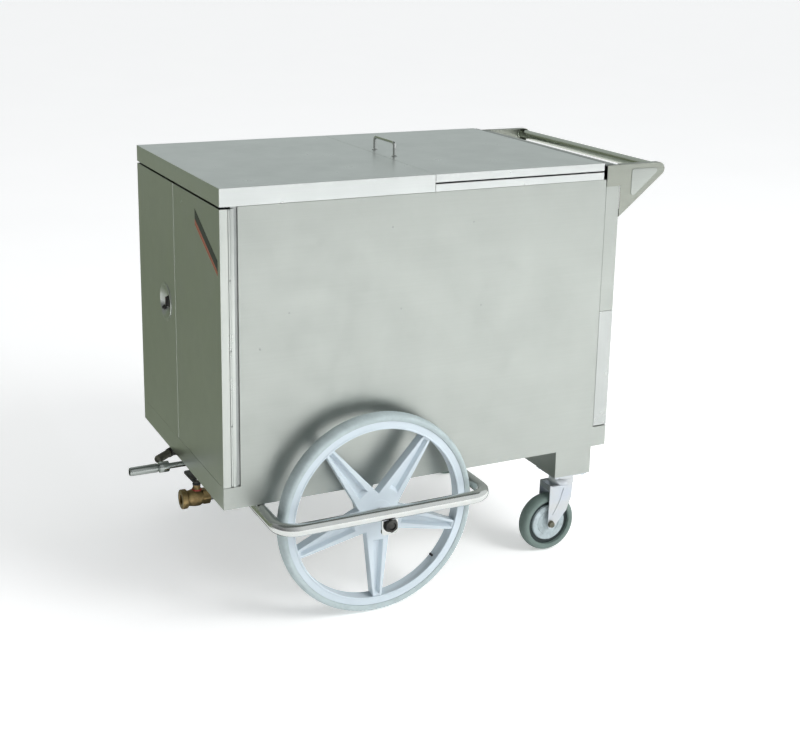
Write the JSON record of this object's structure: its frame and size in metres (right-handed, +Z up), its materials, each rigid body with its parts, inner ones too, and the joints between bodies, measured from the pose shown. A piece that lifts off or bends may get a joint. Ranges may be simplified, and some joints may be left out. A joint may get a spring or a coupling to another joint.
{
  "type": "vending cart",
  "caption": "Closed stainless sheet-metal vending cart with a lidded well, spoked side wheels in guard rails, swivel casters, a push bar, a gas inlet and a drain valve.",
  "frame": {"origin": "centre of the cart's outline on the floor", "axes": "+Z up, +X towards the push bar, -Y the side with the front panel"},
  "size_m": [1.078, 0.791, 0.8886],
  "materials": {
    "steel_panel": "satin brushed stainless sheet",
    "steel_bright": "bright polished stainless",
    "steel_inner": "dull inner stainless sheet",
    "zinc": "bright zinc-plated pressed steel",
    "wheel_paint": "pale blue-grey paint",
    "tyre_grey": "grey ribbed solid tyre",
    "caster_tyre": "grey thermoplastic rubber",
    "caster_core": "pale grey moulded core",
    "brass": "cast and machined brass",
    "black_plastic": "black moulded plastic",
    "dark_iron": "dark oxide steel",
    "copper": "copper tube"
  },
  "bodies": {
    "frame": {"base_tray": "steel_panel", "front_panel": "steel_panel", "back_panel": "steel_panel", "post_front_left": "steel_inner", "post_front_right": "steel_inner", "post_back_left": "steel_inner", "post_back_right": "steel_inner", "end_door_hinge": "steel_bright", "control_panel": "steel_panel", "control_cup": "steel_inner", "gas_valve": "brass", "igniter_body": "black_plastic", "left_cover": "steel_panel", "lid_hinge": "steel_bright", "well_rim": "steel_bright", "well_tank": "steel_inner", "divider": "steel_inner", "burner": "dark_iron", "burner_pipe": "copper", "supply_pipe": "copper", "gas_inlet": "steel_bright", "gas_elbow": "dark_iron", "drain_pipe": "steel_inner", "drain_valve": "brass", "push_end_panel": "steel_panel", "flap_hinge": "steel_bright", "handle_bracket_front": "steel_panel", "handle_bracket_back": "steel_panel", "push_bar": "steel_bright", "guard_rail_front": "steel_bright", "guard_rail_back": "steel_bright", "axle": "zinc", "axle_nut_front": "dark_iron", "axle_nut_back": "dark_iron", "caster_beam": "steel_panel", "caster_plate_front": "zinc", "caster_plate_back": "zinc"},
    "lid": {"lid": "steel_panel", "lid_handle": "steel_bright"},
    "end_door": {"end_door": "steel_panel"},
    "push_end_flap": {"push_end_flap": "steel_panel", "flap_handle": "steel_bright"},
    "control_knob": {"control_knob": "black_plastic"},
    "igniter_button": {"igniter_button": "black_plastic"},
    "drain_lever": {"drain_lever": "black_plastic"},
    "wheel_front": {"wheel_front": "wheel_paint", "tyre_front": "tyre_grey", "wheel_bush_front": "brass"},
    "caster_fork_front": {"caster_fork_front": "zinc", "caster_bolt_front": "dark_iron"},
    "caster_wheel_front": {"caster_wheel_front": "caster_core", "caster_tyre_front": "caster_tyre"},
    "wheel_back": {"wheel_back": "wheel_paint", "tyre_back": "tyre_grey", "wheel_bush_back": "brass"},
    "caster_fork_back": {"caster_fork_back": "zinc", "caster_bolt_back": "dark_iron"},
    "caster_wheel_back": {"caster_wheel_back": "caster_core", "caster_tyre_back": "caster_tyre"}
  },
  "joints": [
    {"name": "lid_hinge", "type": "hinge", "parent": "frame", "child": "lid", "pos_m": [0.3925, 0, 0.854], "axis": [0, 1, 0], "range_deg": [0, 100]},
    {"name": "end_door_hinge", "type": "hinge", "parent": "frame", "child": "end_door", "pos_m": [-0.4146, -0.2722, 0.55], "axis": [0, 0, 1], "range_deg": [0, 90]},
    {"name": "push_end_flap_hinge", "type": "hinge", "parent": "frame", "child": "push_end_flap", "pos_m": [0.424, 0, 0.2925], "axis": [0, 1, 0], "range_deg": [0, 90]},
    {"name": "control_knob_turn", "type": "hinge", "parent": "frame", "child": "control_knob", "pos_m": [-0.418, 0.082, 0.56], "axis": [-1, 0, 0], "range_deg": [0, 180]},
    {"name": "igniter_press", "type": "slide", "parent": "frame", "child": "igniter_button", "axis": [1, 0, 0], "range_m": [0, 0.004], "stiffness_N_per_m": 600, "springref_m": -0.001},
    {"name": "drain_lever_turn", "type": "hinge", "parent": "frame", "child": "drain_lever", "pos_m": [-0.414, -0.043, 0.204], "axis": [0, 0, 1], "range_deg": [0, 90]},
    {"name": "wheel_front_spin", "type": "hinge", "parent": "frame", "child": "wheel_front", "pos_m": [-0.138, -0.322, 0.205], "axis": [0, 1, 0], "continuous": true},
    {"name": "wheel_back_spin", "type": "hinge", "parent": "frame", "child": "wheel_back", "pos_m": [-0.138, 0.322, 0.205], "axis": [0, 1, 0], "continuous": true},
    {"name": "caster_front_swivel", "type": "hinge", "parent": "frame", "child": "caster_fork_front", "pos_m": [0.351, -0.23, 0.16], "axis": [0, 0, 1], "continuous": true},
    {"name": "caster_front_roll", "type": "hinge", "parent": "caster_fork_front", "child": "caster_wheel_front", "pos_m": [0.317, -0.23, 0.064], "axis": [0, 1, 0], "continuous": true},
    {"name": "caster_back_swivel", "type": "hinge", "parent": "frame", "child": "caster_fork_back", "pos_m": [0.351, 0.23, 0.16], "axis": [0, 0, 1], "continuous": true},
    {"name": "caster_back_roll", "type": "hinge", "parent": "caster_fork_back", "child": "caster_wheel_back", "pos_m": [0.317, 0.23, 0.064], "axis": [0, 1, 0], "continuous": true}
  ]
}
